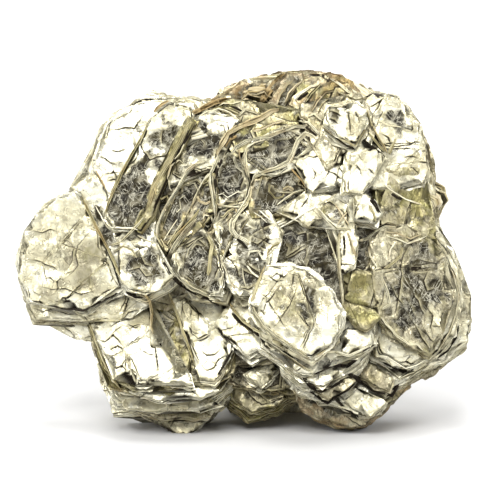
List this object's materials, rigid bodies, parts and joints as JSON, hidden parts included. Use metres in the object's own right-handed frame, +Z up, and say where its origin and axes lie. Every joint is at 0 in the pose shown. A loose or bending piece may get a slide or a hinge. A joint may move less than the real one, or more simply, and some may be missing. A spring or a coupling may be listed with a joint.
{
  "type": "mica crystal",
  "caption": "Free-standing cluster of intergrown mica crystals: stacked pearly cleavage plates with stepped, layered edges that fan out of one stone.",
  "frame": {"origin": "middle of the underside of the cluster's bounding box, on the surface that it rests on", "axes": "+X along the longest extent, to the right seen from the front; -Y is the front with the broad bright plates; +Z up"},
  "size_m": [0.1004, 0.0586, 0.0774],
  "materials": {
    "mica": "pearly pale silver to olive cleavage sheets, smoky in places"
  },
  "bodies": {
    "root": {"mica_cluster": "mica"}
  },
  "joints": []
}
